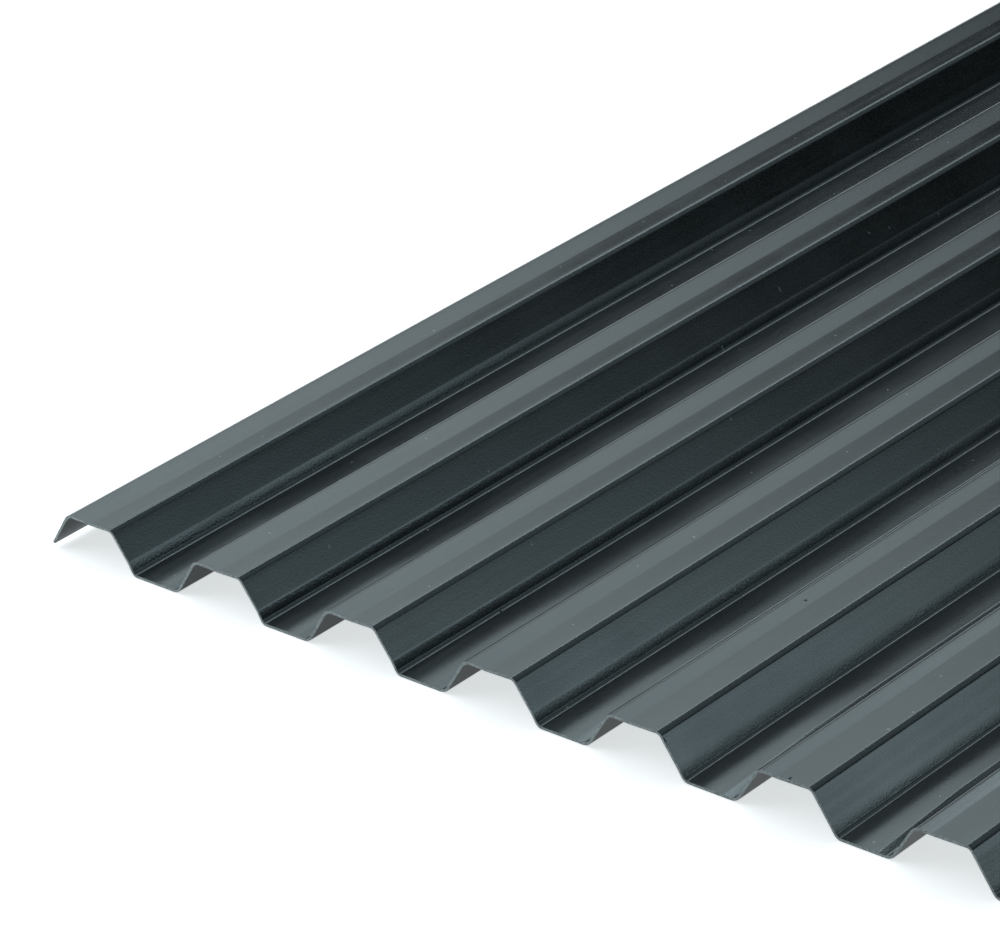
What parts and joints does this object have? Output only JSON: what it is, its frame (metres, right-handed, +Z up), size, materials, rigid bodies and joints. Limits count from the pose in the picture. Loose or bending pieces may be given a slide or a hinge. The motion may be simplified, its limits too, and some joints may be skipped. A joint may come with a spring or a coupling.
{
  "type": "corrugated plastic roofing sheet",
  "caption": "Dark slate-grey rigid plastic roofing sheet, formed into even flat-topped ribs and flat valleys that run along its length, with plain cut ends.",
  "frame": {"origin": "below the middle of the sheet, on the plane that the valleys' undersides rest on", "axes": "+Y along the ribs, +Z up out of the crowns, +X across the sheet from one side edge to the other"},
  "size_m": [1.095, 2, 0.018],
  "materials": {
    "sheet_plastic": "satin dark slate-grey rigid plastic, through-coloured, with a fine grain"
  },
  "bodies": {
    "root": {"roofing_sheet": "sheet_plastic"}
  },
  "joints": []
}
